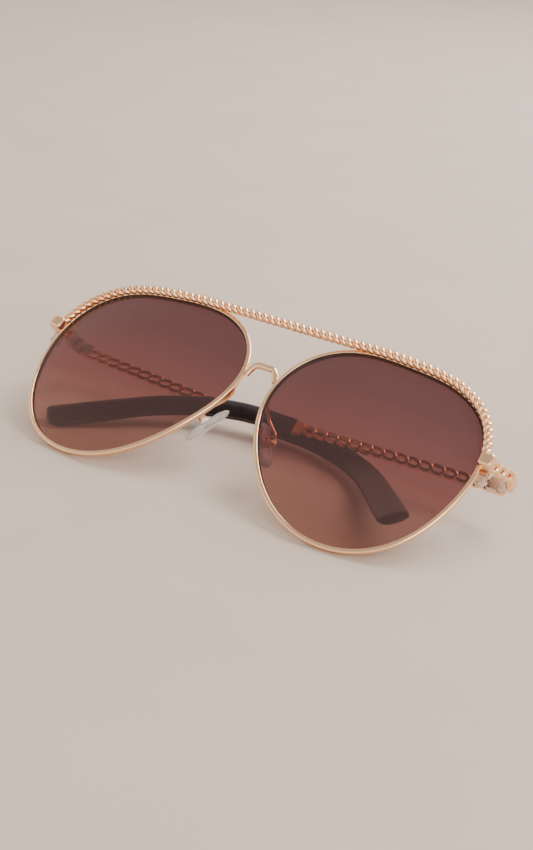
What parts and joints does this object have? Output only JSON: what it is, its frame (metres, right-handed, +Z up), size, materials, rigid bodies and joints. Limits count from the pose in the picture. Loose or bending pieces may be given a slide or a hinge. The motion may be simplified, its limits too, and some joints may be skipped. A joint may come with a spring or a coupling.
{
  "type": "aviator sunglasses",
  "caption": "Aviator sunglasses with teardrop rims, a twisted rope brow bar, an arched bridge, clear nose pads and folding curb-chain temples with dark tips.",
  "frame": {"origin": "on the surface the folded sunglasses lie on, below the middle of their bounding box", "axes": "+Z up from the surface, +X toward the wearer's left temple, -Y the side the lower rims rest on"},
  "size_m": [0.145, 0.0508, 0.0363],
  "materials": {
    "rose_gold": "polished rose gold plate",
    "steel": "satin",
    "tinted_lens": "polished, brown gradient tint",
    "black_plastic": "gloss",
    "clear_silicone": "clear silicone, satin"
  },
  "bodies": {
    "front": {"rim_left": "rose_gold", "rim_right": "rose_gold", "lens_left": "tinted_lens", "lens_right": "tinted_lens", "brow_bar": "rose_gold", "bridge": "rose_gold", "end_piece_left": "rose_gold", "end_piece_right": "rose_gold", "rim_lock_upper_left": "steel", "rim_lock_upper_right": "steel", "rim_lock_lower_left": "steel", "rim_lock_lower_right": "steel", "rim_screw_left": "steel", "rim_screw_right": "steel", "hinge_front_left": "steel", "hinge_front_right": "steel", "hinge_screw_left": "steel", "hinge_screw_right": "steel", "pad_arm_left": "rose_gold", "pad_arm_right": "rose_gold", "pad_screw_left": "steel", "pad_screw_right": "steel"},
    "temple_left": {"temple_chain_left": "rose_gold", "temple_core_left": "steel", "temple_tip_left": "black_plastic", "hinge_rear_left": "steel"},
    "nose_pad_left": {"nose_pad_left": "clear_silicone", "pad_boss_left": "steel"},
    "temple_right": {"temple_chain_right": "rose_gold", "temple_core_right": "steel", "temple_tip_right": "black_plastic", "hinge_rear_right": "steel"},
    "nose_pad_right": {"nose_pad_right": "clear_silicone", "pad_boss_right": "steel"}
  },
  "joints": [
    {"name": "temple_fold_left", "type": "hinge", "parent": "front", "child": "temple_left", "pos_m": [0.0694, 0.01629, 0.01178], "axis": [-0.0087, -0.829, -0.5592], "range_deg": [0, 85.9]},
    {"name": "temple_fold_right", "type": "hinge", "parent": "front", "child": "temple_right", "pos_m": [-0.0694, 0.01629, 0.01178], "axis": [-0.0087, 0.829, 0.5592], "range_deg": [0, 82.8]},
    {"name": "pad_rock_left", "type": "hinge", "parent": "front", "child": "nose_pad_left", "pos_m": [0.01058, -0.00234, 0.01168], "axis": [-0.4589, -0.6732, 0.5799], "range_deg": [-10, 10]},
    {"name": "pad_rock_right", "type": "hinge", "parent": "front", "child": "nose_pad_right", "pos_m": [-0.01058, -0.00234, 0.01168], "axis": [0.4589, -0.6732, 0.5799], "range_deg": [-10, 10]}
  ]
}
